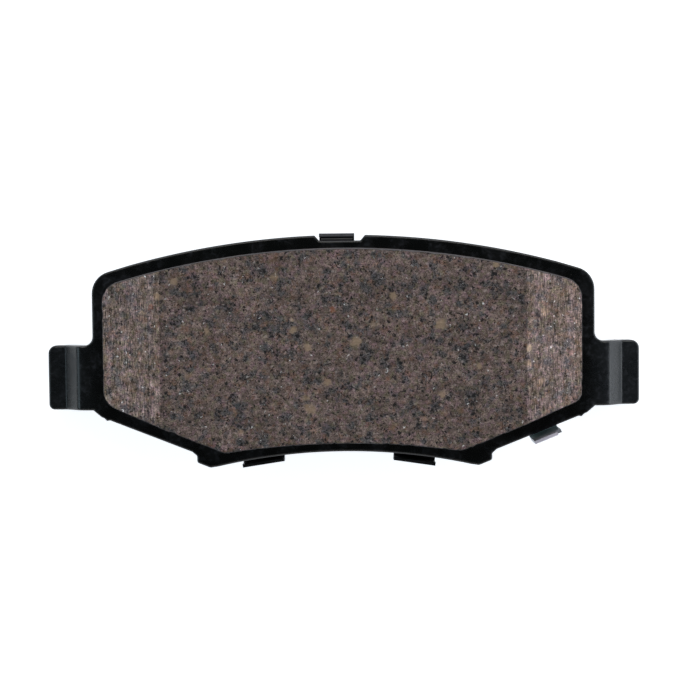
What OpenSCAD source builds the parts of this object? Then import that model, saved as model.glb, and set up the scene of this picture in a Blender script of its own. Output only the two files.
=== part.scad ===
// Disc brake pad: pressed steel backing plate with stepped-back ears, a keyed
// friction block, a clip-on laminated shim and a riveted wear indicator.
// The pad lies on its back with the friction face up. X runs along the pad, Y points
// to the outer edge of the brake disc, Z = 0 is the face that the piston pushes on.

/* [Backing plate] */
// Overall length over the two ears
pad_length = 145; // [143:0.5:147]
// Length of the plate between the ears
body_length = 122; // [120:0.5:124]
// Height of the outer edge's crown above the ears' middle
crown_y = 34.2; // [33.6:0.1:34.8]
// Radius of the curved outer edge
crown_r = 198; // [190:1:210]
// Height of the inner edge's hollow, at the middle of the plate
hollow_y = -18.5; // [-18.9:0.1:-18.2]
// Radius of the hollow inner edge
hollow_r = 140.7; // [136:1:146]
// Lowest point of the two lobes beside the hollow
lobe_y = -22.2; // [-22.6:0.1:-22]
// Distance from the middle to each lobe's outer step
lobe_x = 36; // [35.6:0.1:36.4]
// Slope of the lower sides in degrees
side_slope = 22; // [21.5:0.1:22.5]
// Radius of the two outer corners
corner_r = 5.5; // [5:0.5:7]
// Thickness of the plate
plate_t = 5.5; // [5:0.1:6]
// Width of the notch floor in the outer edge
notch_w = 10; // [9.8:0.1:11]
// Depth of that notch
notch_depth = 1.4; // [1.3:0.05:1.5]
// Offset of the notch from the middle
notch_x = -0.7; // [-0.9:0.05:-0.6]

/* [Ears] */
// Height of each ear
ear_h = 15.8; // [15.5:0.1:16.5]
// Distance from the middle to where the ear starts to step back
step_x = 64.4; // [64:0.1:65]
// Length over which it steps back
step_w = 3.8; // [3.6:0.1:4.4]
// How far the ear's end lies behind the plate's face
step_depth = 3.5; // [3:0.1:3.8]

/* [Friction block] */
// Length of the friction block
block_length = 115.4; // [114.5:0.1:116]
// Sideways offset of the block on the plate
block_x = -0.25; // [-0.4:0.05:0.4]
// Height of the block above the plate
block_t = 9.2; // [7:0.1:10]
// Thickness of the underlayer, part of that height
underlayer_t = 1.8; // [1.5:0.1:2.2]
// Thickness of the adhesive under it
bond_t = 0.1; // [0.08:0.01:0.15]
// Length of the flat middle between the two end chamfers
block_flat = 86.8; // [80:0.5:92]
// Depth of the end chamfers at the block's ends
chamfer_depth = 3.8; // [3:0.1:4.5]

/* [Keying holes] */
// Diameter of the holes that the underlayer flows into
key_d = 9; // [7:0.5:10]
// Distance of the inner pair from the middle
key_inner_x = 15; // [13:0.5:17]
// Distance of the outer pair from the middle
key_outer_x = 40; // [38:0.5:42]

/* [Shim] */
// Thickness of the outer steel shim
outer_t = 0.85; // [0.8:0.05:0.9]
// Thickness of the damping rubber between the two steels
damping_t = 0.35; // [0.3:0.05:0.4]
// Thickness of the inner steel shim
inner_t = 0.45; // [0.4:0.05:0.5]
// Thickness of the rubber coat that faces the plate
coat_t = 0.1; // [0.08:0.01:0.12]
// Sideways rest position of the shim, against the left of the notch
shim_x = -1.4; // [-1.5:0.05:-1.3]
// Width of the two lower tabs
low_tab_w = 10.3; // [9.5:0.1:10.5]
// Distance of the lower tabs from the shim's middle
low_tab_x = 18.45; // [18:0.05:19]
// Width of the upper tab
top_tab_w = 8.6; // [8.4:0.1:8.8]

/* [Wear indicator] */
// Width of the spring steel strip
strip_w = 7.2; // [6.8:0.1:7.4]
// Thickness of the strip
strip_t = 0.85; // [0.8:0.05:0.9]
// Where the strip crosses the plate's lower edge
strip_x = 48.7; // [48.4:0.1:49]
// Gap between the plate's edge and the upright leg
strip_gap = 1.2; // [1.1:0.05:1.4]
// Height of the leg's tip above the plate's face
tip_above_plate = 3; // [2:0.1:3.5]
// Diameter of the rivet's shank
rivet_d = 4; // [3.5:0.1:4.2]

/* [Hidden] */
$fn = 96;
far = 400;

// Heights, from the piston face up
shim_gap = 0.05;
damping_z = outer_t;
inner_z = damping_z + damping_t;
coat_z = inner_z + inner_t;
plate_z = coat_z + coat_t + shim_gap;
face_z = plate_z + plate_t;
underlayer_z = face_z + bond_t;
friction_z = face_z + underlayer_t;
top_z = face_z + block_t;

// Plate outline
half_body = body_length / 2;
half_pad = pad_length / 2;
half_ear = ear_h / 2;
crown_c = crown_y - crown_r;
hollow_c = hollow_y - hollow_r;
side_foot_y = -18.3;
side_foot_x = lobe_x + 1.1;
ear_root_x = half_body - 0.4;
ear_root_y = side_foot_y + (ear_root_x - side_foot_x - 1.9) * tan(side_slope);
lobe_chamfer = 3.2;
lobe_chamfer_h = 1.3;
ear_fillet = 2.2;
ear_bend_outer_r = 2.4;
ear_bend_inner_r = 0.9;
ear_corner_r = 2;
ear_foot_r = 1.4;
small_r = 0.5;
notch_flare = 1.2;

// Friction block outline
half_block = block_length / 2;
block_crown_y = 31;
block_crown_r = 195;
block_corner_r = 5;
block_hollow_y = -15.9;
block_hollow_r = 190;
block_foot_x = 28.2;
block_left_r = 5;
block_right_r = 3.4;

// Keying holes
key_inner_y = 15;
key_outer_y = 10;

// Shim
shim_half = 54;
shim_inset = 2.2;
shim_corner_r = 5;
shim_cut_x = 34;
shim_low_y = -2;
coat_inset = 0.8;
bend_r = 0.5;
tab_edge_r = 0.15;
tab_root = 4;
low_tab_y = -21.7;
low_tab_slope = 8.5;
low_tab_z = 5.4;
top_tab_z = 5.9;
top_tab_gap = 0.15;
top_tab_x = -0.05;
inner_tab_narrowing = 0.5;
damping_tab_z = 5.2;
inner_tab_z = 5.6;

// Wear indicator
tip_z = face_z + tip_above_plate;
tip_step_w = 1.2;
tip_step_h = 2.3;
strip_bend_r = 1;
rivet_inset = 7.2;
rivet_head_d = 6.6;
rivet_head_t = 1.1;
rivet_dome_r = 5.5;
rivet_depth = 3.6;

// Corner list [x, y, radius] to outline points, each corner rounded by an arc
function unit(v) = v / norm(v);
function turn(a, b, c) = acos(min(1, max(-1, unit(b - a) * unit(c - b))));
function side(a, b, c) = sign(cross(b - a, c - b));
function xy(p) = [p[0], p[1]];
function arc_at(a, b, c, r, n) =
  let (
    t = turn(a, b, c),
    s = side(a, b, c),
    into = unit(b - a),
    start = b - into * r * tan(t / 2),
    centre = start + s * r * [-into[1], into[0]]
  )
  [for (i = [0 : n])
    let (w = s * t * i / n, d = start - centre)
    centre + [d[0] * cos(w) - d[1] * sin(w), d[0] * sin(w) + d[1] * cos(w)]];
function rounded(p, n = 8) =
  [for (i = [0 : len(p) - 1])
    let (
      a = xy(p[(i + len(p) - 1) % len(p)]),
      b = xy(p[i]),
      c = xy(p[(i + 1) % len(p)])
    )
    each (p[i][2] > 0 ? arc_at(a, b, c, p[i][2], n) : [b])];

// Height of a circular edge at x, for a circle centred on the Y axis
function edge_y(c, r, x) = c + sqrt(r * r - x * x);
// Points along such an edge, from x0 to x1, as unrounded corners
function edge_points(c, r, x0, x1, n) =
  [for (i = [0 : n])
    let (x = x0 + (x1 - x0) * i / n)
    [x, edge_y(c, r, x), 0]];
function flip(p) = [for (i = [len(p) - 1 : -1 : 0]) [-p[i][0], p[i][1], p[i][2]]];

// Corners of the plate's right half, without its ear, from the notch round to the hollow
function lower_side() = [
  [half_body, ear_root_y + 1.6, 0],
  [half_body - 1.9, ear_root_y, 1],
  [side_foot_x, side_foot_y, 0.8],
  [lobe_x, side_foot_y - 1, 0.6],
  [lobe_x, lobe_y + lobe_chamfer_h, 0.8],
  [lobe_x - lobe_chamfer, lobe_y, 1.4]
];

module plate_body_outline() {
  right = lower_side();
  hollow = edge_points(hollow_c, hollow_r, lobe_x - lobe_chamfer - 2, -lobe_x + lobe_chamfer + 2, 40);
  corner_y = edge_y(crown_c, crown_r, half_body);
  crown = edge_points(crown_c, crown_r, -half_body + 9, half_body - 9, 60);
  difference() {
    polygon(rounded(concat(
      crown,
      [[half_body, corner_y, corner_r]],
      right,
      hollow,
      flip(right),
      [[-half_body, corner_y, corner_r]]
    )));
    notch();
  }
}

// Notch in the outer edge that locates the shim's upper tab
module notch() {
  floor_y = crown_y - notch_depth;
  top = notch_depth + 1;
  flare = notch_flare * top / notch_depth;
  translate([notch_x, floor_y])
    polygon(rounded([
      [-notch_w / 2, 0, small_r],
      [notch_w / 2, 0, small_r],
      [notch_w / 2 + flare, top, 0],
      [-notch_w / 2 - flare, top, 0]
    ], 4));
}

// Ear seen from above, from inside the plate out to its end
module ear_outline() {
  inside = half_body - 8;
  polygon(rounded([
    [inside, half_ear, 0],
    [half_pad, half_ear, ear_corner_r],
    [half_pad, -half_ear, ear_foot_r],
    [half_body - 0.6, -half_ear, 1],
    [half_body - 3.2, -half_ear - 2.6, 0],
    [inside, -half_ear - 2, 0]
  ]));
  // fillet between the ear's upper edge and the plate's side
  difference() {
    translate([half_body - 1, half_ear - 1])
      square(ear_fillet + 1);
    translate([half_body + ear_fillet, half_ear + ear_fillet])
      circle(r = ear_fillet);
  }
}

// Side view of the ear's sheet: flat, sloped back, flat again
module ear_profile() {
  slope_shift = plate_t * tan(atan(step_depth / step_w) / 2);
  inside = half_body - 8;
  polygon(rounded([
    [inside, face_z, 0],
    [step_x, face_z, ear_bend_outer_r],
    [step_x + step_w, face_z - step_depth, ear_bend_inner_r],
    [half_pad + 1, face_z - step_depth, 0],
    [half_pad + 1, plate_z - step_depth, 0],
    [step_x + step_w - slope_shift, plate_z - step_depth, ear_bend_outer_r],
    [step_x - slope_shift, plate_z, ear_bend_inner_r],
    [inside, plate_z, 0]
  ], 6));
}

module ear() {
  intersection() {
    translate([0, 0, plate_z - step_depth - 1])
      linear_extrude(plate_t + step_depth + 2)
        ear_outline();
    rotate([90, 0, 0])
      linear_extrude(4 * ear_h, center = true)
        ear_profile();
  }
}

module key_holes(d, z, h) {
  for (s = [-1, 1]) {
    translate([s * key_inner_x, key_inner_y, z])
      cylinder(d = d, h = h);
    translate([s * key_outer_x, key_outer_y, z])
      cylinder(d = d, h = h);
  }
}

module backing_plate() {
  color([0.06, 0.065, 0.065])
    difference() {
      union() {
        translate([0, 0, plate_z])
          linear_extrude(plate_t)
            plate_body_outline();
        ear();
        mirror([1, 0, 0])
          ear();
      }
      key_holes(key_d, plate_z - 1, plate_t + 2);
      at_indicator()
        translate([0, -rivet_inset, plate_z - 1])
          cylinder(d = rivet_d, h = rivet_depth + 1);
    }
}

// Outline shared by the adhesive, the underlayer and the friction block
module block_outline() {
  crown_c2 = block_crown_y - block_crown_r;
  hollow_c2 = block_hollow_y - block_hollow_r;
  corner_y = edge_y(crown_c2, block_crown_r, half_block);
  foot_y = edge_y(hollow_c2, block_hollow_r, block_foot_x);
  slope = tan(side_slope);
  side_y = foot_y + (half_block - block_foot_x) * slope;
  translate([block_x, 0])
    polygon(rounded(concat(
      edge_points(crown_c2, block_crown_r, -half_block + 7, half_block - 7, 56),
      [[half_block, corner_y, block_corner_r]],
      [[half_block, side_y, block_right_r]],
      [[block_foot_x, foot_y, 2.5]],
      edge_points(hollow_c2, block_hollow_r, block_foot_x - 3, -block_foot_x + 3, 36),
      [[-block_foot_x, foot_y, 2.5]],
      [[-half_block, side_y, block_left_r]],
      [[-half_block, corner_y, block_corner_r]]
    )));
}

module bonding_layer() {
  color([0.42, 0.26, 0.1])
    difference() {
      translate([0, 0, face_z])
        linear_extrude(bond_t)
          block_outline();
      key_holes(key_d, face_z - 1, 2);
    }
}

module underlayer() {
  color([0.24, 0.22, 0.21])
    union() {
      translate([0, 0, underlayer_z])
        linear_extrude(friction_z - underlayer_z)
          block_outline();
      key_holes(key_d, plate_z, friction_z - plate_z - 0.5);
    }
}

module friction_block() {
  half_flat = block_flat / 2;
  color([0.34, 0.3, 0.285])
    intersection() {
      translate([0, 0, friction_z])
        linear_extrude(top_z - friction_z)
          block_outline();
      rotate([90, 0, 0])
        linear_extrude(2 * far, center = true)
          polygon([
            [-half_block - 1, friction_z - 1],
            [half_block + 1, friction_z - 1],
            [half_block + 1, friction_z],
            [block_x + half_block, top_z - chamfer_depth],
            [half_flat, top_z],
            [-half_flat, top_z],
            [block_x - half_block, top_z - chamfer_depth],
            [-half_block - 1, friction_z]
          ]);
    }
}

// Shim sheet in its own middle position, drawn smaller by inset
module shim_outline(inset) {
  c = crown_c;
  r = crown_r - shim_inset - inset;
  x = shim_half - inset;
  low = hollow_r + shim_inset + inset;
  cut = shim_cut_x - inset;
  cut_y = edge_y(hollow_c, low, cut);
  polygon(rounded(concat(
    edge_points(c, r, -x + 9, x - 9, 48),
    [[x, edge_y(c, r, x), shim_corner_r]],
    [[x, shim_low_y + inset, shim_corner_r]],
    [[x - 14, shim_low_y + inset, 2]],
    [[cut, cut_y, 2]],
    edge_points(hollow_c, low, cut - 3, -cut + 3, 36),
    [[-cut, cut_y, 2]],
    [[-x + 4, -11, 3]],
    [[-x, shim_low_y - 4, shim_corner_r]],
    [[-x, edge_y(c, r, x), shim_corner_r]]
  )));
}

// A tab bent up at right angles. Its outer face stands at y = 0, and the sheet's lower
// face at z = 0; the root runs in under the plate, towards -y.
module bent_tab(w, t, inner_r, root, height) {
  rotate([90, 0, 90])
    linear_extrude(w, center = true)
      polygon(rounded([
        [-root, 0, 0],
        [0, 0, inner_r + t],
        [0, height, tab_edge_r],
        [-t, height, tab_edge_r],
        [-t, t, inner_r],
        [-root, t, 0]
      ], 8));
}

// Places a child where a lower tab's outer face stands, s = -1 on the left
module at_low_tab(s) {
  translate([s * low_tab_x, low_tab_y, 0])
    rotate(180 - s * low_tab_slope)
      children();
}

// Outer face of the upper tab
function top_tab_y() = crown_y - notch_depth + top_tab_gap + inner_t + damping_t + outer_t;

module top_tab(w, t, layer, z, tip) {
  translate([top_tab_x, top_tab_y() - layer, z])
    bent_tab(w, t, bend_r + coat_z - z - t, tab_root + shim_inset, tip - z);
}

module outer_shim() {
  color([0.2, 0.2, 0.21])
    translate([shim_x, 0, 0])
      union() {
        linear_extrude(outer_t)
          shim_outline(0);
        for (s = [-1, 1])
          at_low_tab(s)
            bent_tab(low_tab_w, outer_t, bend_r, tab_root + 1, low_tab_z);
        top_tab(top_tab_w, outer_t, 0, 0, top_tab_z);
      }
}

module damping_layer() {
  color([0.05, 0.05, 0.05])
    translate([shim_x, 0, 0])
      union() {
        translate([0, 0, damping_z])
          linear_extrude(damping_t)
            shim_outline(coat_inset);
        top_tab(top_tab_w - 2 * inner_tab_narrowing, damping_t, outer_t, damping_z, damping_tab_z);
      }
}

module inner_shim() {
  color([0.3, 0.3, 0.31])
    translate([shim_x, 0, 0])
      union() {
        translate([0, 0, inner_z])
          linear_extrude(inner_t)
            shim_outline(coat_inset);
        top_tab(top_tab_w - 2 * inner_tab_narrowing, inner_t, outer_t + damping_t, inner_z, inner_tab_z);
      }
}

module shim_rubber_coat() {
  color([0.04, 0.04, 0.04])
    translate([shim_x, 0, coat_z])
      linear_extrude(coat_t)
        shim_outline(coat_inset);
}

// Frame on the plate's right lower edge: +y points out of the plate
module at_indicator() {
  edge_h = side_foot_y + (strip_x - side_foot_x) * tan(side_slope);
  translate([strip_x, edge_h, 0])
    rotate(180 + side_slope)
      children();
}

module wear_indicator() {
  leg_y = strip_gap + strip_t;
  color([0.72, 0.71, 0.74])
    at_indicator()
      difference() {
        union() {
          translate([0, leg_y, plate_z - strip_t])
            bent_tab(strip_w, strip_t, strip_bend_r, leg_y + rivet_inset, tip_z - plate_z + strip_t);
          translate([0, -rivet_inset, plate_z - strip_t])
            cylinder(d = strip_w, h = strip_t);
        }
        translate([-strip_w / 2 - 1, 0, tip_z - tip_step_h])
          cube([tip_step_w + 1, 2 * leg_y, tip_step_h + 1]);
        translate([0, -rivet_inset, plate_z - strip_t - 1])
          cylinder(d = rivet_d, h = strip_t + 2);
      }
}

module wear_indicator_rivet() {
  under_strip_z = plate_z - strip_t;
  head_z = under_strip_z - rivet_head_t;
  color([0.6, 0.6, 0.62])
    at_indicator()
      translate([0, -rivet_inset, 0])
        union() {
          intersection() {
            translate([0, 0, head_z])
              cylinder(d = rivet_head_d, h = rivet_head_t);
            translate([0, 0, head_z + rivet_dome_r])
              sphere(r = rivet_dome_r);
          }
          translate([0, 0, under_strip_z - rivet_head_t / 2])
            cylinder(d = rivet_d, h = rivet_head_t / 2 + strip_t + rivet_depth);
        }
}

backing_plate();
bonding_layer();
underlayer();
friction_block();
shim_rubber_coat();
inner_shim();
damping_layer();
outer_shim();
wear_indicator();
wear_indicator_rivet();
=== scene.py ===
"""Looks of the disc brake pad: coated plate, ground friction block, shims and wear indicator."""

import math

import bmesh
import bpy
import numpy as np
from mathutils import Matrix, Vector, noise
from mathutils.geometry import delaunay_2d_cdt


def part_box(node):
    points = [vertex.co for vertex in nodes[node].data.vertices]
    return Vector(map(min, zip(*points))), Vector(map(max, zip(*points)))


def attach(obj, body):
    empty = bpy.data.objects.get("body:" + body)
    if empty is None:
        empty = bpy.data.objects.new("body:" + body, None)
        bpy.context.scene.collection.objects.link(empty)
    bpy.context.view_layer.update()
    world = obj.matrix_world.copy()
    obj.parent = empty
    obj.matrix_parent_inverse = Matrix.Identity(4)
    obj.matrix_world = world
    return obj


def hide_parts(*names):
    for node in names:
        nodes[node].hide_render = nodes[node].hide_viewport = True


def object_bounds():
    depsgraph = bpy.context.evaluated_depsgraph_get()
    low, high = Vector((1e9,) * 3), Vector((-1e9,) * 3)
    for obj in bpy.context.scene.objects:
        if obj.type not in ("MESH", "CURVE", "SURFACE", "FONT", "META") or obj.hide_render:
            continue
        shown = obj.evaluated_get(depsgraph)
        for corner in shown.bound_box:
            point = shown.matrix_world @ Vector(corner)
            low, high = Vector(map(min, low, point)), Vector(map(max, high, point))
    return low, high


MM = 0.001
# Points closer than this are welded into one
WELD = 1e-6
# A point this near the line between its neighbours adds nothing to an outline
ON_LINE = 0.002 * MM
# Least upward share of the normal of a face that counts as looking up
LOOKS_UP = 0.3
# Keeps a mitred step short at a sharp corner
MITRE_LEAST = 0.6
# Share of a grid's cell that stays free beside an outline
GRID_CLEAR = 0.45
# Share of a grid's cell between an outline and the triangle that a filled area grows from
START_CLEAR = 0.2
# Precision of the triangulation, in millimetres
CDT_EPSILON = 1e-6
# Decimals kept of a place along the pad, in millimetres and in metres
MM_DECIMALS, M_DECIMALS = 2, 5
# Faces no higher than this above the plate's back belong to it or to the ears' backs
ON_BACK = 0.1 * MM
# Points no lower than this below the block's top belong to its flat middle
AT_TOP = 0.01 * MM

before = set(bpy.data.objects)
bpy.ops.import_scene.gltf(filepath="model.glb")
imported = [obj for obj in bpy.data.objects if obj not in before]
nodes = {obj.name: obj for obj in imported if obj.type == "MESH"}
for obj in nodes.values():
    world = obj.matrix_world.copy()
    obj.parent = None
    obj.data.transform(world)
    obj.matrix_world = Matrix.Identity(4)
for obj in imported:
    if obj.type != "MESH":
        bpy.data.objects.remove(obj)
cad_low, cad_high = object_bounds()


# ---------------------------------------------------------------- outlines read from the frame


def facing(node, up, below=1.0):
    """A bmesh of a CAD node, and its faces that look up (up = 1) or down (up = -1)."""
    bm = bmesh.new()
    bm.from_mesh(nodes[node].data)
    bmesh.ops.remove_doubles(bm, verts=bm.verts, dist=WELD)
    faces = {f for f in bm.faces if f.normal.z * up > LOOKS_UP and f.calc_center_median().z < below}
    return bm, faces


def walk(neighbours):
    """Closed chains of vertices from a table of each vertex's two neighbours."""
    chains = []
    left = set(neighbours)
    while left:
        here = min(left)
        chain = []
        while here is not None:
            chain.append(here)
            left.discard(here)
            here = next((v for v in neighbours[here] if v in left), None)
        chains.append(chain)
    return chains


def signed_area(loop):
    """Signed area of a closed loop, positive when it runs anticlockwise."""
    x, y = loop[:, 0], loop[:, 1]
    return 0.5 * float(np.sum(x * np.roll(y, -1) - y * np.roll(x, -1)))


def outlines(node, up, below=1.0):
    """Edges of a node's upward or downward area, seen from above, the largest first.

    The outer loop runs anticlockwise and the holes clockwise, so the left is always material.
    """
    bm, faces = facing(node, up, below)
    bm.verts.index_update()
    places = np.array([v.co[:2] for v in bm.verts])
    neighbours = {}
    for e in bm.edges:
        if sum(f in faces for f in e.link_faces) == 1:
            a, b = (v.index for v in e.verts)
            neighbours.setdefault(a, []).append(b)
            neighbours.setdefault(b, []).append(a)
    loops = [places[chain] for chain in walk(neighbours)]
    bm.free()
    loops.sort(key=lambda loop: -abs(signed_area(loop)))
    right_way = [(signed_area(loop) > 0) == (i == 0) for i, loop in enumerate(loops)]
    return [loop if right else loop[::-1] for loop, right in zip(loops, right_way)]


def heights(node, up, below=1.0, mirrored=False):
    """Height of a node's upward or downward area along x, as the two arrays np.interp takes."""
    bm, faces = facing(node, up, below)
    found = {}
    for f in faces:
        for v in f.verts:
            x = abs(v.co.x) if mirrored else v.co.x
            found[round(x / MM, MM_DECIMALS)] = v.co.z
    bm.free()
    xs = sorted(found)
    return np.array(xs) * MM, np.array([found[x] for x in xs])


def divided(loop, step):
    """The loop with points added so that no two neighbours are further apart than step."""
    out = []
    for a, b in zip(loop, np.roll(loop, -1, 0)):
        n = max(1, math.ceil(np.linalg.norm(b - a) / step))
        out += [a + (b - a) * i / n for i in range(n)]
    return np.array(out)


def cleaned(loop, tolerance):
    """The loop without the points that lie on the line between their neighbours."""
    keep = []
    for i, p in enumerate(loop):
        a, b = keep[-1] if keep else loop[i - 1], loop[(i + 1) % len(loop)]
        d = b - a
        off = abs(d[0] * (p - a)[1] - d[1] * (p - a)[0]) / np.linalg.norm(d)
        if off > tolerance:
            keep.append(p)
    return np.array(keep)


def inward(loop):
    """At each point, the mitred step that moves the loop by one unit into the material."""
    ahead = np.roll(loop, -1, 0) - loop
    ahead /= np.linalg.norm(ahead, axis=1, keepdims=True)
    left = np.stack([-ahead[:, 1], ahead[:, 0]], 1)
    before = np.roll(left, 1, 0)
    step = left + before
    step /= np.linalg.norm(step, axis=1, keepdims=True)
    return step / np.maximum(MITRE_LEAST, np.sum(step * left, 1, keepdims=True))


def distance_to(loop, points):
    """Distance of each point from the nearest side of a loop."""
    best = np.full(len(points), np.inf)
    for a, b in zip(loop, np.roll(loop, -1, 0)):
        d = b - a
        t = np.clip((points - a) @ d / (d @ d), 0, 1)
        best = np.minimum(best, np.linalg.norm(points - a - t[:, None] * d, axis=1))
    return best


def contains(loop, points):
    """Which points lie inside a loop."""
    inside = np.zeros(len(points), bool)
    for a, b in zip(loop, np.roll(loop, -1, 0)):
        if a[1] != b[1]:
            crosses = (a[1] > points[:, 1]) != (b[1] > points[:, 1])
            at = a[0] + (points[:, 1] - a[1]) * (b[0] - a[0]) / (b[1] - a[1])
            inside ^= crosses & (points[:, 0] < at)
    return inside


def reached(tris, fence, start):
    """Triangles that can be reached from one of them without crossing an edge of the fence."""
    sides = {}
    for number, tri in enumerate(tris):
        for a, b in zip(tri, (*tri[1:], tri[0])):
            sides.setdefault(frozenset((a, b)), []).append(number)
    seen, waiting = {start}, [start]
    while waiting:
        tri = tris[waiting.pop()]
        for a, b in zip(tri, (*tri[1:], tri[0])):
            edge = frozenset((a, b))
            fresh = [] if edge in fence else [n for n in sides[edge] if n not in seen]
            seen.update(fresh)
            waiting += fresh
    return sorted(seen)


def fill(loops, step):
    """Points and triangles that fill the first loop, around the others, on a square grid."""
    outer = loops[0]
    low, high = outer.min(0), outer.max(0)
    axes = [np.arange(math.ceil(a / step), b / step) * step for a, b in zip(low, high)]
    grid = np.stack(np.meshgrid(*axes), -1).reshape(-1, 2)
    grid = grid[contains(outer, grid)]
    for loop in loops:
        grid = grid[distance_to(loop, grid) > GRID_CLEAR * step]
    for hole in loops[1:]:
        grid = grid[~contains(hole, grid)]
    points = [Vector(p / MM) for p in (*np.concatenate(loops), *grid)]
    sides, first = [], 0
    for loop in loops:
        sides += [(first + i, first + (i + 1) % len(loop)) for i in range(len(loop))]
        first += len(loop)
    made, _, tris, origin, *_ = delaunay_2d_cdt(points, sides, [], 0, CDT_EPSILON, True)
    index = {i: out for out, ins in enumerate(origin) for i in ins}
    fence = {frozenset((index[a], index[b])) for a, b in sides}
    made = np.array([tuple(p) for p in made]) * MM
    middles = np.array([made[list(t)].mean(0) for t in tris])
    inside = contains(outer, middles)
    for hole in loops[1:]:
        inside &= ~contains(hole, middles)
    inside &= distance_to(outer, middles) > START_CLEAR * step
    return made, [tris[i] for i in reached(tris, fence, int(np.argmax(inside)))]


# ---------------------------------------------------------------- mesh building


class Skin:
    """Collects strips and filled areas, then welds them into one closed mesh."""

    def __init__(self):
        self.points = []
        self.faces = []
        self.slots = []
        self.count = 0

    def add(self, points, faces, slot=0):
        self.points.append(np.asarray(points, float))
        self.faces += [tuple(int(i) + self.count for i in f) for f in faces]
        self.slots += [slot] * len(faces)
        self.count += len(points)

    def strip(self, a, b, slot=0):
        """Faces between two rings of as many points."""
        n = len(a)
        quads = [(i, (i + 1) % n, n + (i + 1) % n, n + i) for i in range(n)]
        self.add(np.concatenate([a, b]), quads, slot)

    def strips(self, rings, slot=0):
        """A strip between each ring and the next."""
        for a, b in zip(rings, rings[1:]):
            self.strip(a, b, slot)

    def area(self, loops, height, step, slot=0):
        """A filled area whose height at each point is given by a number or a function."""
        points, tris = fill(loops, step)
        z = height(points) if callable(height) else np.full(len(points), height)
        self.add(np.column_stack([points, z]), tris, slot)

    def build(self, name):
        """The welded result, as a new mesh and a bmesh that still has to be written to it."""
        mesh = bpy.data.meshes.new(name)
        mesh.from_pydata(np.concatenate(self.points).tolist(), [], self.faces)
        for polygon, slot in zip(mesh.polygons, self.slots):
            polygon.material_index = slot
        bm = bmesh.new()
        bm.from_mesh(mesh)
        bmesh.ops.remove_doubles(bm, verts=bm.verts, dist=WELD)
        bmesh.ops.recalc_face_normals(bm, faces=bm.faces)
        return mesh, bm


def at_height(loop, z):
    """The loop's points at height z, which is one number or one for each point."""
    return np.column_stack([loop, np.broadcast_to(z, len(loop))])


def ring(loop, mitre, inset, z):
    """One ring of a slab's edge: the loop moved in by inset, at height z."""
    return at_height(loop + mitre * np.reshape(inset, (-1, 1)), z)


def place(name, mesh, bm, sharp_deg, materials, body, replaced):
    """Makes the finished piece, with smooth shading up to an edge angle."""
    bm.to_mesh(mesh)
    bm.free()
    mesh.polygons.foreach_set("use_smooth", [True] * len(mesh.polygons))
    mesh.set_sharp_from_angle(angle=math.radians(sharp_deg))
    for m in materials:
        mesh.materials.append(m)
    piece = bpy.data.objects.new(name, mesh)
    bpy.context.scene.collection.objects.link(piece)
    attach(piece, body)
    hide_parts(replaced)
    return piece


WOBBLE_SHIFT = (7.31, 3.17, 5.83)


def wobble(points, size, seed):
    """Smooth noise from about -1 to 1 at each point, with features of the given size."""
    shift = Vector([seed * part for part in WOBBLE_SHIFT])
    return np.array([noise.noise(Vector((*p, 0)) / size + shift) * 2 for p in points])


# ---------------------------------------------------------------- material building


# Directions in which a seed or a distance moves a pattern away from the others
GRAIN_SHIFT = (3.7, 1.9, 2.3)
APART = (1.0, 0.7, 0.3)


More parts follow.
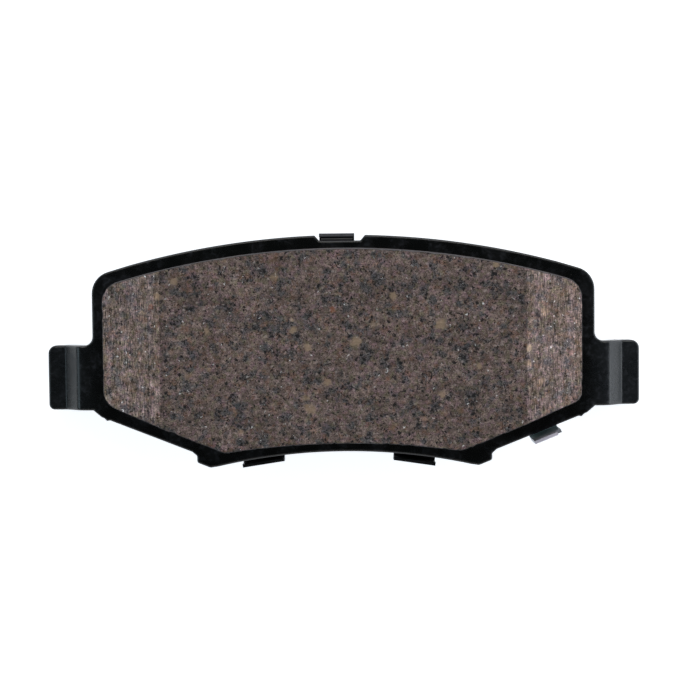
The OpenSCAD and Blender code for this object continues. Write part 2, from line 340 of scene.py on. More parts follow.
class Shader:
    """A node material with a Principled shader. Positions are in millimetres."""

    def __init__(self, name):
        self.material = bpy.data.materials.new(name)
        self.material.use_nodes = True
        self.tree = self.material.node_tree
        self.tree.nodes.clear()
        self.out = self.make("ShaderNodeOutputMaterial")
        self.shader = self.make("ShaderNodeBsdfPrincipled")
        self.tree.links.new(self.shader.outputs[0], self.out.inputs[0])
        self.coords = self.make("ShaderNodeTexCoord")
        self.place = self.scaled((1, 1, 1))

    def make(self, kind, inputs=None, **settings):
        made = self.tree.nodes.new(kind)
        for key, value in settings.items():
            setattr(made, key, value)
        for key, value in (inputs or {}).items():
            self.put(made.inputs[key], value)
        return made

    def put(self, socket, value):
        """Links a node's output to a socket, or sets the socket's own value."""
        if isinstance(value, bpy.types.NodeSocket):
            self.tree.links.new(value, socket)
        elif isinstance(value, tuple) and len(value) == 3 and socket.type == "RGBA":
            socket.default_value = (*value, 1)
        else:
            socket.default_value = value

    def set(self, **values):
        """Sets sockets of the Principled shader; an underscore stands for a space."""
        for key, value in values.items():
            self.put(self.shader.inputs[key.replace("_", " ")], value)

    def scaled(self, scale):
        """The piece's own position in millimetres, stretched by scale."""
        size = tuple(s / MM for s in scale)
        vector = self.coords.outputs["Object"]
        return self.make("ShaderNodeMapping", {"Vector": vector, "Scale": size}).outputs[0]

    def noise(self, scale, detail=2.0, where=None, roughness=0.5, distortion=0.0):
        where = self.place if where is None else where
        inputs = {"Vector": where, "Scale": scale, "Detail": detail}
        inputs |= {"Roughness": roughness, "Distortion": distortion}
        return self.make("ShaderNodeTexNoise", inputs).outputs[0]

    def math(self, operation, a, b=0.0, c=0.0):
        made = self.make("ShaderNodeMath", operation=operation)
        for socket, value in zip(made.inputs, (a, b, c)):
            self.put(socket, value)
        return made.outputs[0]

    def span(self, value, low, high, to_low=0.0, to_high=1.0):
        """Maps value from low..high to to_low..to_high, smoothly and clamped."""
        inputs = {"Value": value, "From Min": low, "From Max": high}
        inputs |= {"To Min": to_low, "To Max": to_high}
        made = self.make("ShaderNodeMapRange", inputs, interpolation_type="SMOOTHSTEP")
        return made.outputs[0]

    def mix(self, factor, a, b, blend="MIX"):
        """Mixes two colours, which are the Mix node's inputs 6 and 7 and its output 2."""
        made = self.make("ShaderNodeMix", data_type="RGBA", blend_type=blend)
        self.put(made.inputs["Factor"], factor)
        self.put(made.inputs[6], a)
        self.put(made.inputs[7], b)
        return made.outputs[2]

    def mix_numbers(self, factor, a, b):
        return self.make("ShaderNodeMix", {"Factor": factor, "A": a, "B": b}).outputs[0]

    def axis(self, name, vector=None):
        vector = self.place if vector is None else vector
        return self.make("ShaderNodeSeparateXYZ", {"Vector": vector}).outputs[name]

    def grains(self, size, share, small, large, where, seed, soft=1.35):
        """Mask of scattered grains, and a random number for each.

        size is the cell, share how many cells hold a grain, small and large its radius in
        cells, and soft the factor from its full inside to its outer edge.
        """
        shift = tuple(seed * part for part in GRAIN_SHIFT)
        moved = self.make("ShaderNodeVectorMath", {0: where, 1: shift}, operation="ADD")
        inputs = {"Vector": moved.outputs[0], "Scale": 1 / size}
        cells = self.make("ShaderNodeTexVoronoi", inputs)
        pick = self.make("ShaderNodeSeparateColor", {"Color": cells.outputs["Color"]})
        radius = self.math("MULTIPLY_ADD", pick.outputs[1], large - small, small)
        outer = self.math("MULTIPLY", radius, soft)
        inside = self.span(cells.outputs["Distance"], radius, outer, 1.0, 0.0)
        chosen = self.math("LESS_THAN", pick.outputs[0], share)
        return self.math("MULTIPLY", inside, chosen), pick.outputs[2]

    def shift(self, where, amount):
        """The same position moved away, for a second noise that doesn't follow the first."""
        step = tuple(amount * part for part in APART)
        return self.make("ShaderNodeVectorMath", {0: where, 1: step}, operation="ADD").outputs[0]

    def patches(self, where, scale, apart, low, high, detail=3.0, roughness=0.5):
        """Mask of soft patches, from a noise that is moved away so that it follows no other."""
        moved = self.shift(where, apart)
        return self.span(self.noise(scale, detail, moved, roughness), low, high)

    def warped(self, where, scale, reach):
        """The position pushed about by a noise, which makes round grains irregular."""
        push = self.make("ShaderNodeTexNoise", {"Vector": where, "Scale": scale, "Detail": 2.0})
        scaled = self.make("ShaderNodeVectorMath", {0: push.outputs["Color"], 1: (reach,) * 3},
                           operation="MULTIPLY")
        return self.make("ShaderNodeVectorMath", {0: where, 1: scaled.outputs[0]},
                         operation="ADD").outputs[0]

    def grey(self, value):
        """A number as a grey colour."""
        parts = {"Red": value, "Green": value, "Blue": value}
        return self.make("ShaderNodeCombineColor", parts).outputs[0]

    def gain(self, colour, value):
        """The colour made lighter or darker by a number."""
        return self.mix(1.0, colour, self.grey(value), "MULTIPLY")

    def tint(self, colour, mask, share, other):
        """The colour mixed with another where the mask is set, by at most share."""
        return self.mix(self.math("MULTIPLY", mask, share), colour, other)

    def bump(self, height, distance_mm, strength=1.0, under=None):
        inputs = {"Height": height, "Distance": distance_mm * MM, "Strength": strength}
        if under is not None:
            inputs["Normal"] = under
        return self.make("ShaderNodeBump", inputs).outputs[0]


def srgb(r, g, b):
    """Linear colour of an 8-bit screen colour."""
    out = []
    for v in (r, g, b):
        v /= 255
        out.append(v / 12.92 if v <= 0.04045 else ((v + 0.055) / 1.055) ** 2.4)
    return tuple(out)


# ---------------------------------------------------------------- materials

# Where the painted highlight on an ear starts and where it is full, in millimetres along the pad
EAR_HIGHLIGHT_RIGHT = (58.0, 64.0)
EAR_HIGHLIGHT_LEFT = (-58.0, -66.0)
# The left ear gets this share of the painted highlight
EAR_HIGHLIGHT_LEFT_SHARE = 0.45
# How far the edge of the block's chamfers wanders, in millimetres
RIDGE_WANDER = 0.8
# Height at which the cut wall of the outer shim's flat part ends, in millimetres
SHEET_TOP = (0.75, 0.95)


def plate_coat():
    """Semi-gloss black powder coat: orange peel, thin spots, a film of friction dust, and a painted
    highlight that makes the ears lighter, the right one more.
    """
    s = Shader("plate_coat")
    peel = s.noise(0.9, 2.0)
    fine = s.noise(6.0, 3.0)
    patches = s.noise(0.22, 3.0)
    film = s.noise(0.9, 6.0, s.shift(s.place, 31), 0.68, 1.2)
    dust, _ = s.grains(1.3, 0.09, 0.03, 0.08, s.place, 3)
    colour = s.mix(s.span(patches, 0.35, 0.7), srgb(5, 8, 8), srgb(12, 14, 15))
    # Painted highlight: the ears grow lighter and bluer from here outwards, the right one fully and
    # the left by less, as the side lamps light them.
    x = s.axis("X")
    left = s.span(x, *EAR_HIGHLIGHT_LEFT, 0.0, EAR_HIGHLIGHT_LEFT_SHARE)
    ear_highlight = s.math("MAXIMUM", s.span(x, *EAR_HIGHLIGHT_RIGHT), left)
    # The dust film lies in patches, and over the ears it adds to the painted highlight.
    where = s.math("MAXIMUM", s.span(patches, 0.4, 0.6), ear_highlight)
    dust_film_and_highlight = s.math("MULTIPLY", s.span(film, 0.46, 0.68), where)
    colour = s.tint(colour, ear_highlight, 0.36, srgb(46, 51, 56))
    colour = s.tint(colour, dust_film_and_highlight, 0.6, srgb(48, 51, 58))
    colour = s.tint(colour, dust, 0.5, srgb(90, 90, 88))
    rough = s.math("ADD", s.span(patches, 0.3, 0.75, 0.22, 0.3), s.span(fine, 0.3, 0.7, 0.0, 0.06))
    s.set(Base_Color=colour, Roughness=s.math("MULTIPLY_ADD", dust_film_and_highlight, 0.2, rough))
    normal = s.bump(peel, 0.05, 0.5)
    s.set(Normal=s.bump(fine, 0.012, 0.4, normal), Specular_IOR_Level=0.42)
    return s.material


def compound_colour(s, where, crowd):
    """Colour and relief of the pressed mix, and the mask of its metal chips, painted near white as
    glints.

    The matrix turns lavender, olive, slate and rust in patches, and holds blue, red-brown,
    dark, tan, copper and chalky grains, and metal chips coloured near white as painted glints.
    Small hollows in it are darkened as painted shade. crowd sets how many dark grains there
    are; they gather in the slate parts of the matrix.
    """
    fine = s.noise(3.4, 3.0, where, 0.74)
    matrix = s.span(s.noise(0.8, 3.0, where), 0.42, 0.58)
    colour = s.mix(matrix, srgb(98, 84, 78), srgb(126, 109, 103))
    lavender = s.patches(where, 0.8, 37, 0.52, 0.62)
    colour = s.tint(colour, lavender, 0.6, srgb(134, 108, 114))
    olive = s.patches(where, 0.7, 53, 0.52, 0.62)
    colour = s.tint(colour, olive, 0.6, srgb(104, 99, 78))
    slate = s.patches(where, 0.38, 11, 0.49, 0.62, 4.0, 0.6)
    colour = s.tint(colour, slate, 0.7, srgb(76, 80, 84))
    rust = s.patches(where, 0.6, 23, 0.55, 0.65, 4.0, 0.6)
    colour = s.tint(colour, rust, 0.55, srgb(118, 86, 70))
    dim = s.span(s.noise(0.16, 3.0, where), 0.3, 0.7, 0.94, 1.26)
    dim = s.math("MULTIPLY", dim, s.span(s.noise(0.9, 2.0, where), 0.3, 0.7, 0.82, 1.18))
    dim = s.math("MULTIPLY", dim, s.span(fine, 0.27, 0.73, 0.16, 1.91))
    colour = s.gain(colour, dim)
    ragged = s.warped(where, 2.4, 1.0)
    blue, _ = s.grains(1.7, 0.12, 0.16, 0.4, ragged, 2)
    colour = s.tint(colour, blue, 0.5, srgb(66, 73, 79))
    ember, _ = s.grains(1.3, 0.07, 0.1, 0.3, ragged, 5)
    colour = s.tint(colour, ember, 0.42, srgb(120, 76, 56))
    gathered = s.math("MULTIPLY_ADD", slate, 1.6 * crowd, 0.65 * crowd)
    dark, _ = s.grains(1.1, gathered, 0.1, 0.36, ragged, 4)
    colour = s.tint(colour, dark, 0.92, srgb(16, 17, 20))
    specks, _ = s.grains(0.56, gathered, 0.16, 0.44, ragged, 6)
    colour = s.tint(colour, specks, 0.9, srgb(18, 17, 19))
    # Pores: small hollows, sunk in the relief and darkened as painted shade.
    hollow = s.span(s.noise(2.1, 2.0, s.shift(where, 71), 0.6), 0.35, 0.41, 1.0, 0.0)
    shaded_pores = s.math("MULTIPLY", hollow, s.span(slate, 0.0, 1.0, 0.5, 0.95))
    colour = s.mix(shaded_pores, colour, srgb(36, 29, 28))
    tan, hue = s.grains(4.0, 0.32, 0.03, 0.19, s.warped(where, 0.6, 1.6), 1, 2.4)
    sand = s.mix(hue, srgb(170, 130, 99), srgb(182, 158, 130))
    colour = s.mix(s.math("MULTIPLY", tan, s.span(hue, 0.0, 1.0, 0.2, 0.62)), colour, sand)
    copper, _ = s.grains(7.0, 0.3, 0.02, 0.1, s.warped(where, 1.3, 1.6), 12, 1.8)
    colour = s.tint(colour, copper, 0.48, srgb(164, 92, 62))
    chalk, _ = s.grains(0.8, 0.18, 0.14, 0.36, ragged, 8)
    colour = s.tint(colour, chalk, 0.42, srgb(200, 184, 178))
    # Painted glints: metal chips coloured near white in place of their sparkle.
    sparkling = s.math("MULTIPLY_ADD", slate, 0.16, 0.07)
    pale, _ = s.grains(1.0, sparkling, 0.08, 0.2, ragged, 7)
    colour = s.tint(colour, pale, 0.9, srgb(240, 240, 240))
    sunk = s.math("MULTIPLY", s.math("MAXIMUM", dark, shaded_pores), 0.6)
    return colour, s.math("SUBTRACT", fine, sunk), pale


def friction_face(ridge):
    """Ground friction compound, with chamfers ground in lines along y that are lighter, partly from
    that grinding and partly as painted light from the side lamps, and painted shade at frayed spots
    inside each ridge.
    """
    s = Shader("friction_face")
    where = s.warped(s.place, 1.8, 0.9)
    colour, relief, pale = compound_colour(s, where, 0.4)
    across = s.noise(1.0, 3.0, s.scaled((0.1, 3.2, 1)))
    fibres = s.noise(1.0, 3.0, s.scaled((4.0, 0.5, 1)), 0.62)
    bands = s.noise(1.0, 3.0, s.scaled((0.45, 0.09, 1)))
    edge = s.math("ABSOLUTE", s.axis("X"))
    edge = s.math("ADD", edge, s.math("MULTIPLY", s.noise(0.7, 4.0), RIDGE_WANDER))
    edge = s.math("SUBTRACT", edge, ridge / MM + 0.5 * RIDGE_WANDER)
    chamfer = s.span(edge, -0.15, 0.25)
    # Painted shade: frayed spots just inside each ridge darkened, as the shade in their chips.
    frayed_ridge_shade = s.math("MULTIPLY", s.span(edge, -2.0, -0.3), s.span(s.noise(0.35, 3.0), 0.38, 0.6))
    plain = s.span(across, 0.3, 0.7, 0.88, 1.1)
    plain = s.math("MULTIPLY", plain, s.span(frayed_ridge_shade, 0.0, 1.0, 1.0, 0.72))
    # Gain of the chamfers, which lifts them well above the flat face: partly their scored finish,
    # partly painted light from the side lamps.
    chamfer_scoring_and_light = s.span(fibres, 0.28, 0.72, 0.55, 2.42)
    chamfer_scoring_and_light = s.math("MULTIPLY", chamfer_scoring_and_light, s.span(bands, 0.34, 0.66, 0.9, 1.14))
    cool = s.math("MULTIPLY", chamfer, s.span(bands, 0.45, 0.6))
    warm = s.math("MULTIPLY", chamfer, s.span(bands, 0.55, 0.4))
    colour = s.tint(colour, cool, 0.14, srgb(150, 134, 140))
    colour = s.tint(colour, warm, 0.16, srgb(136, 116, 92))
    colour = s.gain(colour, s.mix_numbers(chamfer, plain, chamfer_scoring_and_light))
    s.set(Base_Color=colour, Roughness=s.span(pale, 0.0, 1.0, 0.82, 0.4))
    normal = s.bump(s.mix_numbers(chamfer, across, fibres), 0.05, 0.7)
    s.set(Normal=s.bump(relief, 0.09, 0.9, normal), Specular_IOR_Level=0.35)
    return s.material


def friction_wall():
    """Moulded side of the block: a smooth resin skin with drag marks from the mould."""
    s = Shader("friction_wall")
    colour, relief, _ = compound_colour(s, s.place, 0.12)
    drag = s.noise(1.0, 3.0, s.scaled((1.6, 1.6, 0.12)))
    skin = s.mix(s.span(drag, 0.35, 0.65), srgb(36, 38, 43), srgb(54, 54, 59))
    s.set(Base_Color=s.mix(0.78, colour, skin), Roughness=s.span(drag, 0.3, 0.7, 0.66, 0.84))
    normal = s.bump(drag, 0.05, 0.5)
    s.set(Normal=s.bump(relief, 0.04, 0.6, normal), Specular_IOR_Level=0.3)
    return s.material


def underlayer_compound():
    """Finer, darker and denser mix between the plate and the friction block."""
    s = Shader("underlayer_compound")
    colour, relief, _ = compound_colour(s, s.scaled((1.6, 1.6, 1.6)), 0.35)
    drag = s.noise(1.0, 3.0, s.scaled((1.6, 1.6, 0.12)))
    skin = s.mix(s.span(drag, 0.35, 0.65), srgb(38, 36, 36), srgb(54, 50, 49))
    s.set(Base_Color=s.mix(0.8, colour, skin), Roughness=s.span(drag, 0.3, 0.7, 0.6, 0.8))
    s.set(Normal=s.bump(relief, 0.05, 0.6))
    return s.material


def bond_adhesive():
    """Cured adhesive squeezed out as a thin brown line."""
    s = Shader("bond_adhesive")
    beads = s.noise(1.3, 3.0)
    colour = s.mix(s.span(beads, 0.35, 0.65), srgb(72, 44, 24), srgb(118, 78, 40))
    s.set(Base_Color=colour, Roughness=s.span(beads, 0.3, 0.7, 0.28, 0.5))
    s.set(Normal=s.bump(beads, 0.03, 0.6))
    return s.material


def below_tip(s, tip, start, full):
    """Mask that sets in start millimetres below a piece's tip, and is full a little higher."""
    return s.span(s.axis("Z"), tip / MM - start, tip / MM - full)


def sheared(s, tip):
    """Mask of a sheet's cut edges: the walls of the flat part and the tabs' ends."""
    upright = s.math("ABSOLUTE", s.axis("Z", s.coords.outputs["Normal"]))
    wall = s.span(upright, 0.25, 0.5, 1.0, 0.0)
    low = s.span(s.axis("Z"), *SHEET_TOP, 1.0, 0.0)
    return s.math("MAXIMUM", s.math("MULTIPLY", wall, low), below_tip(s, tip, 0.12, 0.04))


def shim_steel(name, dark, light, edge, tip):
    """Coated shim sheet: satin rolled surface, faint scuffs, bare steel where it was cut."""
    s = Shader(name)
    rolled = s.noise(1.0, 3.0, s.scaled((0.05, 2.4, 1)))
    cloud = s.noise(0.12, 3.0)
    speck, _ = s.grains(1.1, 0.12, 0.05, 0.16, s.place, 9)
    coat = s.mix(s.span(s.math("ADD", rolled, cloud), 0.8, 1.2), dark, light)
    coat = s.mix(s.math("MULTIPLY", speck, 0.4), coat, light)
    cut = s.math("MULTIPLY", sheared(s, tip), s.span(s.noise(1.4, 2.0), 0.25, 0.55, 0.7, 1.0))
    s.set(Base_Color=s.mix(cut, coat, edge), Metallic=s.span(cut, 0.0, 1.0, 0.35, 0.6))
    s.set(Roughness=s.span(rolled, 0.3, 0.7, 0.34, 0.5))
    normal = s.bump(rolled, 0.006, 0.5)
    s.set(Normal=s.bump(s.noise(3.0, 3.0), 0.01, 0.4, normal))
    return s.material


def rubber(name):
    """Thin vulcanised rubber layer with a fine matt grain."""
    s = Shader(name)
    grain = s.noise(5.0, 3.0)
    colour = s.mix(s.span(grain, 0.35, 0.65), srgb(22, 22, 23), srgb(36, 36, 38))
    s.set(Base_Color=colour, Roughness=s.span(grain, 0.3, 0.7, 0.6, 0.8))
    s.set(Normal=s.bump(grain, 0.02, 0.6))
    return s.material


def spring_steel(tip):
    """Zinc-washed spring strip with a bright sheared end, and a plain inner face with painted
    light: pale teal near the root, whiter towards the tip, and a painted shadow line just below the
    tip.
    """
    s = Shader("spring_steel")
    brushed = s.noise(1.0, 4.0, s.scaled((3.2, 0.4, 0.35)))
    cloud = s.noise(0.5, 2.0)
    end = below_tip(s, tip, 0.14, 0.06)
    colour = s.mix(s.span(brushed, 0.3, 0.7), srgb(172, 174, 182), srgb(204, 205, 212))
    colour = s.tint(colour, s.span(cloud, 0.5, 0.75), 0.35, srgb(146, 156, 158))
    # Painted light: the inner face is coloured pale, teal lower down and near white towards the
    # tip.
    inner = s.span(s.axis("Y", s.coords.outputs["Normal"]), 0.2, 0.5)
    painted_light_rise = below_tip(s, tip, 5.0, 1.6)
    colour = s.mix(inner, colour, s.mix(painted_light_rise, srgb(214, 238, 238), srgb(250, 250, 255)))
    # Painted shadow: a dark line on the inner face just below the tip.
    painted_fold_shadow = below_tip(s, tip, 1.1, 0.8)
    colour = s.tint(colour, s.math("MULTIPLY", painted_fold_shadow, inner), 0.75, srgb(60, 60, 70))
    colour = s.mix(end, colour, srgb(246, 240, 252))
    plain = s.math("MAXIMUM", end, inner)
    s.set(Base_Color=colour, Metallic=s.span(plain, 0.0, 1.0, 0.5, 0.0))
    s.set(Roughness=s.span(brushed, 0.3, 0.7, 0.32, 0.46))
    s.set(Normal=s.bump(brushed, 0.008, 0.5))
    return s.material


def rivet_steel():
    """Zinc-plated rivet with a dull, slightly dented head."""
    s = Shader("rivet_steel")
    dents = s.noise(1.2, 3.0)
    colour = s.mix(s.span(dents, 0.35, 0.65), srgb(128, 128, 130), srgb(176, 176, 176))
    s.set(Base_Color=colour, Metallic=0.95, Roughness=s.span(dents, 0.3, 0.7, 0.32, 0.5))
    s.set(Normal=s.bump(dents, 0.05, 0.6))
    return s.material


# ---------------------------------------------------------------- the backing plate

# Spacing of the outline's points, and cells of the filled areas
PLATE_STEP = 1.2 * MM
PLATE_CELL = 3 * MM
HOLE_CELL = 5 * MM
PLATE_SHARP_DEG = 40
# The plate is flat at least this far from its middle
FLAT_HALF = 50 * MM
# Every bend of the ears' sheet lies between these distances from the middle
EAR_BENDS = (60 * MM, 72 * MM)
# Cuts along each ear's ramp, and how far it bows: out on the right, in on the left
RAMP_CUTS = 7
RAMP_CROWN = 0.12 * MM
# Rounding of the front edge, and the small break of the back edge
ROLL_R = 0.62 * MM
ROLL_STEPS = 6
ROLL_LAND = 0.1 * MM
BACK_EDGE = 0.2 * MM
# The torn lower part of the wall: how deep and how coarse, and its heights in millimetres
FRACTURE_INSET = 0.09 * MM
FRACTURE_GRAIN = 1.3 * MM
FRACTURE_MIDDLE = 1.1
FRACTURE_TOP = 1.9
SHEAR_FOOT = 2.2
# Two holes with middles this close are one hole right through the plate
SAME_HOLE = 1 * MM


def plate_wall(outer, back, face):
    """Rings of the plate's wall: broken back edge, torn part, sheared part, rolled front."""
    mitre = inward(outer)
    rough = 1 + 0.5 * wobble(outer, FRACTURE_GRAIN, 2)
    torn = FRACTURE_INSET * rough
    rings = [
        ring(outer, mitre, BACK_EDGE + torn, back),
        ring(outer, mitre, torn, back + BACK_EDGE),
        ring(outer, mitre, torn[::-1], back + FRACTURE_MIDDLE * MM),
        ring(outer, mitre, torn, back + (FRACTURE_TOP + 0.25 * rough) * MM),
        ring(outer, mitre, 0.0, back + (SHEAR_FOOT + 0.3 * rough) * MM),
    ]
    for i in range(ROLL_STEPS + 1):
        a = math.pi / 2 * i / ROLL_STEPS
        inset = ROLL_R * (1 - math.cos(a))
        rings.append(ring(outer, mitre, inset, face - ROLL_R * (1 - math.sin(a))))
    rings.append(ring(outer, mitre, ROLL_R + ROLL_LAND, face))
    return rings


def plate_holes(skin, front, rear, back, face):
    """Walls of the keying holes, and the blind hole that the rivet fills."""
    rivet_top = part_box("wear_indicator_rivet")[1].z
    for loop in rear:
        middle = loop.mean(0)
        through = any(np.linalg.norm(middle - other.mean(0)) < SAME_HOLE for other in front)
        top = face if through else rivet_top
        skin.strip(at_height(loop, back), at_height(loop, top))
        if not through:
            skin.area([loop[::-1]], rivet_top, HOLE_CELL)


def step_ears_back(bm, back, face):
    """Shears the flat plate's ends down to the heights of the CAD ears, with bowed ramps."""
    xs_front, z_front = heights("backing_plate", 1, mirrored=True)
    xs_back, z_back = heights("backing_plate", -1, below=back + ON_BACK, mirrored=True)
    steepest = int(np.argmin(np.diff(z_front)))
    ramp = xs_front[steepest : steepest + 2]
    bends = np.concatenate([xs_front, xs_back, np.linspace(*ramp, RAMP_CUTS)])
    for x in sorted({*bends.round(M_DECIMALS)}):
        if EAR_BENDS[0] < x < EAR_BENDS[1]:
            for side in (-1, 1):
                geometry = bm.verts[:] + bm.edges[:] + bm.faces[:]
                bmesh.ops.bisect_plane(bm, geom=geometry, dist=WELD, plane_co=(side * x, 0, 0),
                                       plane_no=(1, 0, 0))
    for v in bm.verts:
        x = abs(v.co.x)
        share = (v.co.z - back) / (face - back)
        low, high = np.interp(x, xs_back, z_back), np.interp(x, xs_front, z_front)
        along = np.clip((x - ramp[0]) / (ramp[1] - ramp[0]), 0, 1)
        bow = RAMP_CROWN if v.co.x > 0 else -RAMP_CROWN
        high += bow * math.sin(math.pi * along)
        v.co.z = low + share * (high - low)


def backing_plate():
    """Pressed plate: a flat blank with its wall and holes, whose ears are then stepped back."""
    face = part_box("bonding_layer")[0].z
    xs, zs = heights("backing_plate", -1, mirrored=True)
    back = float(zs[xs < FLAT_HALF].min())
    front_loops = outlines("backing_plate", 1)
    back_loops = outlines("backing_plate", -1, below=back + ON_BACK)
    front_holes = [cleaned(loop, ON_LINE) for loop in front_loops[1:]]
    back_holes = [cleaned(loop, ON_LINE) for loop in back_loops[1:]]
    rings = plate_wall(divided(cleaned(front_loops[0], ON_LINE), PLATE_STEP), back, face)
    skin = Skin()
    skin.strips(rings)
    skin.area([rings[-1][:, :2], *front_holes], face, PLATE_CELL)
    skin.area([rings[0][:, :2], *back_holes], back, PLATE_CELL)
    plate_holes(skin, front_holes, back_holes, back, face)
    mesh, bm = skin.build("Backing_plate")
    step_ears_back(bm, back, face)
    return place("Backing_plate", mesh, bm, PLATE_SHARP_DEG, [plate_coat()], "pad",
                 "backing_plate")


# ---------------------------------------------------------------- the friction block

BLOCK_STEP = 0.45 * MM
BLOCK_FOOT_CELL = 6 * MM
BLOCK_SHARP_DEG = 50
# Cells of the face from the middle to a chamfer, so that a line of points runs along each ridge
GRID_CELLS = 104
# Material slots of the block's mesh
FACE_SLOT, WALL_SLOT = 0, 1
# How far the drafted wall leans in, and the shares of its height that carry a ring
DRAFT = 0.38 * MM
WALL_SHARES = (0, 0.3, 0.6, 1)
BRIM_R = 0.3 * MM
BRIM_STEPS = 4
# Unevenness of the brim: how deep and how coarse
CRUMBLE = 0.03 * MM
CRUMBLE_GRAIN = 0.9 * MM
# Torn-out grains of the face, and small breaks of the brim
PITS, PIT_SEED = 420, 7
CHIPS, CHIP_SEED = 60, 19


def pitted(points, low, high):
    """Depth of small torn-out grains at each point, scattered over the block's face."""
    rng = np.random.default_rng(PIT_SEED)
    depth = np.zeros(len(points))
    for _ in range(PITS):
        centre = rng.uniform(low, high)
        radius = rng.uniform(0.45, 0.95) * MM
        deep = rng.uniform(0.04, 0.13) * MM
        stretch = np.array([1, rng.uniform(0.7, 1.3)])
        away = np.linalg.norm((points - centre) * stretch, axis=1) / radius
        depth = np.maximum(depth, deep * np.clip(1 - away**2, 0, 1))
    return depth


def chipped(loop):
    """How far the brim's small breaks cut in at each point of the rim."""
    rng = np.random.default_rng(CHIP_SEED)
    cut = np.zeros(len(loop))
    for i in rng.integers(0, len(loop), CHIPS):
        radius = rng.uniform(0.4, 1.2) * MM
        deep = rng.uniform(0.05, 0.2) * MM
        away = np.linalg.norm(loop - loop[i], axis=1) / radius
        cut = np.maximum(cut, deep * np.clip(1 - away**2, 0, 1))
    return cut


def block_wall(outer, foot, crown):
    """Rings of the block's side from its foot up and over the brim.

    crown gives the height of the face, before it was pitted, at each x.
    """
    mitre = inward(outer)
    crumble = DRAFT + CRUMBLE * wobble(outer, CRUMBLE_GRAIN, 4) + chipped(outer)
    sink = 0.5 * (crumble - DRAFT).clip(0)
    top = crown(outer[:, 0]) - BRIM_R - sink
    rings = [ring(outer, mitre, crumble * share, foot + (top - foot) * share)
             for share in WALL_SHARES]
    for i in range(1, BRIM_STEPS + 1):
        a = math.pi / 2 * i / BRIM_STEPS
        moved = ring(outer, mitre, crumble + BRIM_R * (1 - math.cos(a)), 0)
        z = crown(moved[:, 0]) - sink * (1 - i / BRIM_STEPS)
        moved[:, 2] = z - BRIM_R * (1 - math.sin(a))
        rings.append(moved)
    return rings


def friction_block():
    """Block with drafted walls, a worn brim, end chamfers and small pits in its face."""
    low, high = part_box("friction_block")
    xs, zs = heights("friction_block", 1)
    ridge = float(np.abs(xs[zs > high.z - AT_TOP]).max())
    outer = divided(cleaned(outlines("friction_block", -1)[0], ON_LINE), BLOCK_STEP)

    def crown(x):
        return np.interp(x, xs, zs)

    def face_z(points):
        return crown(points[:, 0]) - pitted(points, low[:2], high[:2])

    rings = block_wall(outer, low.z, crown)
    rings[-1][:, 2] = face_z(rings[-1][:, :2])
    skin = Skin()
    skin.strips(rings[:-1], WALL_SLOT)
    skin.strips(rings[-2:], FACE_SLOT)
    skin.area([rings[-1][:, :2]], face_z, ridge / GRID_CELLS, FACE_SLOT)
    skin.area([outer], low.z, BLOCK_FOOT_CELL, WALL_SLOT)
    mesh, bm = skin.build("Friction_block")
    materials = [friction_face(ridge), friction_wall()]
    return place("Friction_block", mesh, bm, BLOCK_SHARP_DEG, materials, "pad",
                 "friction_block")


# ---------------------------------------------------------------- carried-over CAD nodes

BREAK_SEGMENTS = 2
BREAK_ANGLE_DEG = 50


def dress(node, material, edge=None):
    """Gives a CAD node its material and, where it is a cut or pressed part, broken edges."""
    piece = nodes[node]
    piece.data.materials.clear()
    piece.data.materials.append(material)
    if edge:
        weld = piece.modifiers.new("weld", "WELD")
        weld.merge_threshold = WELD
        bevel = piece.modifiers.new("broken_edges", "BEVEL")
        bevel.width = edge
        bevel.segments = BREAK_SEGMENTS
        bevel.limit_method = "ANGLE"
        bevel.angle_limit = math.radians(BREAK_ANGLE_DEG)
        bevel.harden_normals = True


def top_of(node):
    """Height of a node's highest point."""
    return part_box(node)[1].z


def carried_over():
    """Materials and broken edges of the eight nodes that keep their CAD shape."""
    outer = shim_steel("outer_shim_steel", srgb(22, 23, 24), srgb(44, 45, 47),
                       srgb(128, 128, 134), top_of("outer_shim"))
    inner = shim_steel("inner_shim_steel", srgb(48, 48, 50), srgb(84, 84, 86),
                       srgb(100, 98, 101), top_of("inner_shim"))
    dress("bonding_layer", bond_adhesive())
    dress("underlayer", underlayer_compound())
    dress("outer_shim", outer, 0.09 * MM)
    dress("inner_shim", inner, 0.06 * MM)
    dress("damping_layer", rubber("damping_rubber"), 0.05 * MM)
    dress("shim_rubber_coat", rubber("shim_rubber"))
    dress("wear_indicator", spring_steel(top_of("wear_indicator")), 0.1 * MM)
    dress("wear_indicator_rivet", rivet_steel(), 0.1 * MM)


# ---------------------------------------------------------------- studio

CAMERA_TILT = math.radians(2.7)
CAMERA_ROLL = math.radians(0.57)
CAMERA_DISTANCE = 348.2 * MM
CAMERA_AIM_Y = 6.27 * MM
CAMERA_SIDE = 1.54 * MM
CAMERA_LENS = 73.8
SENSOR_WIDTH = 36
CLIP_START = 10 * MM


def camera():
    """Looks straight down on the friction face, from slightly towards the outer edge."""
    back = Vector((0, math.sin(CAMERA_TILT), math.cos(CAMERA_TILT)))
    across = Vector((1, 0, 0))
    up = back.cross(across)
    right = across * math.cos(CAMERA_ROLL) - up * math.sin(CAMERA_ROLL)
    above = across * math.sin(CAMERA_ROLL) + up * math.cos(CAMERA_ROLL)
    aim = Vector((0, CAMERA_AIM_Y, top_of("backing_plate")))
    data = bpy.data.cameras.new("Camera")
    data.lens = CAMERA_LENS
    data.sensor_width = SENSOR_WIDTH
    data.clip_start = CLIP_START
    eye = bpy.data.objects.new("Camera", data)
    turn = Matrix((right, above, back)).transposed().to_4x4()
    eye.matrix_world = Matrix.Translation(aim + back * CAMERA_DISTANCE + right * CAMERA_SIDE) @ turn
    bpy.context.scene.collection.objects.link(eye)
    bpy.context.scene.camera = eye


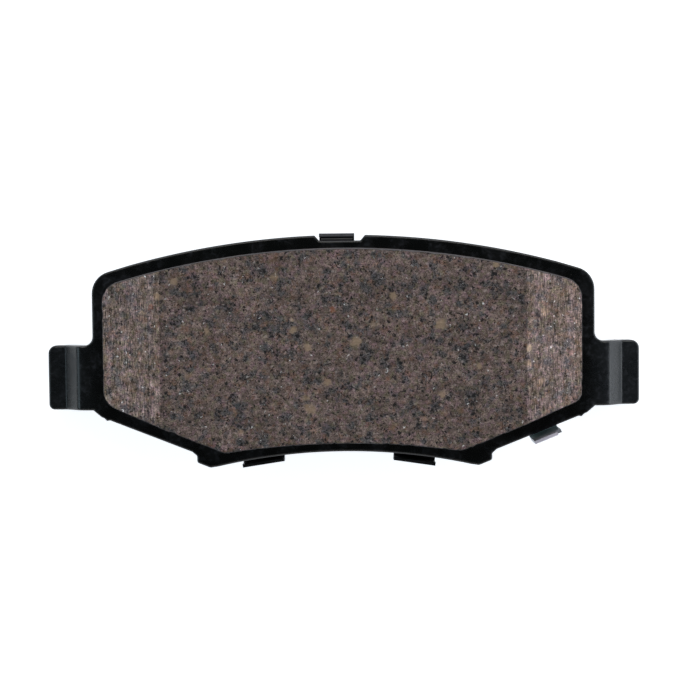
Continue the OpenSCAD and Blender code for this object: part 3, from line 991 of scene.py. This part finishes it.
def softbox(name, where, size, power, colour):
    """A soft rectangular light that points at the part and doesn't show itself."""
    data = bpy.data.lights.new(name, "AREA")
    data.shape = "RECTANGLE"
    data.size, data.size_y = size
    data.energy = power
    data.color = colour
    lamp = bpy.data.objects.new(name, data)
    lamp.location = where
    lamp.visible_camera = False
    lamp.rotation_mode = "QUATERNION"
    lamp.rotation_quaternion = Vector(where).to_track_quat("Z", "Y")
    bpy.context.scene.collection.objects.link(lamp)


FLOOR_HALF = 6
FLOOR_GAP = 0.02 * MM
WORLD_LIGHT = 0.04
BACKDROP = 0.86


def floor():
    """A wide pale table that glows a little, as a light table does."""
    z = cad_low.z - FLOOR_GAP
    mesh = bpy.data.meshes.new("Floor")
    signs = ((-1, -1), (1, -1), (1, 1), (-1, 1))
    corners = [(FLOOR_HALF * x, FLOOR_HALF * y, z) for x, y in signs]
    mesh.from_pydata(corners, [], [(0, 1, 2, 3)])
    s = Shader("table")
    s.set(Base_Color=(0.9, 0.9, 0.9), Roughness=0.6, Emission_Color=(0.95, 0.99, 1.04))
    s.set(Emission_Strength=0.82)
    mesh.materials.append(s.material)
    piece = bpy.data.objects.new("Floor", mesh)
    bpy.context.scene.collection.objects.link(piece)


def studio():
    """Four softboxes, a faint even light, and a pale backdrop behind the table's far edge."""
    world = bpy.data.worlds.new("World")
    world.use_nodes = True
    tree = world.node_tree
    rays = tree.nodes.new("ShaderNodeLightPath")
    seen = tree.nodes.new("ShaderNodeMapRange")
    seen.inputs["To Min"].default_value = WORLD_LIGHT
    seen.inputs["To Max"].default_value = BACKDROP
    tree.links.new(rays.outputs["Is Camera Ray"], seen.inputs["Value"])
    tree.links.new(seen.outputs[0], tree.nodes["Background"].inputs["Strength"])
    tree.nodes["Background"].inputs["Color"].default_value = (1, 1, 1, 1)
    bpy.context.scene.world = world
    bpy.context.scene.view_settings.view_transform = "Standard"
    softbox("Left", (-0.95, 0.0, 0.5), (1.35, 0.3), 3.2, (0.7, 0.89, 1.0))
    softbox("Right", (0.95, 0.0, 0.26), (1.5, 0.42), 6.4, (0.88, 0.94, 1.0))
    softbox("Top", (0.0, 0.95, 0.62), (1.2, 0.5), 7.2, (1.0, 0.98, 0.96))
    softbox("Bottom", (0.0, -0.98, 0.58), (1.2, 0.5), 2.4, (1.0, 0.98, 0.96))
    floor()


backing_plate()
friction_block()
carried_over()
camera()
studio()
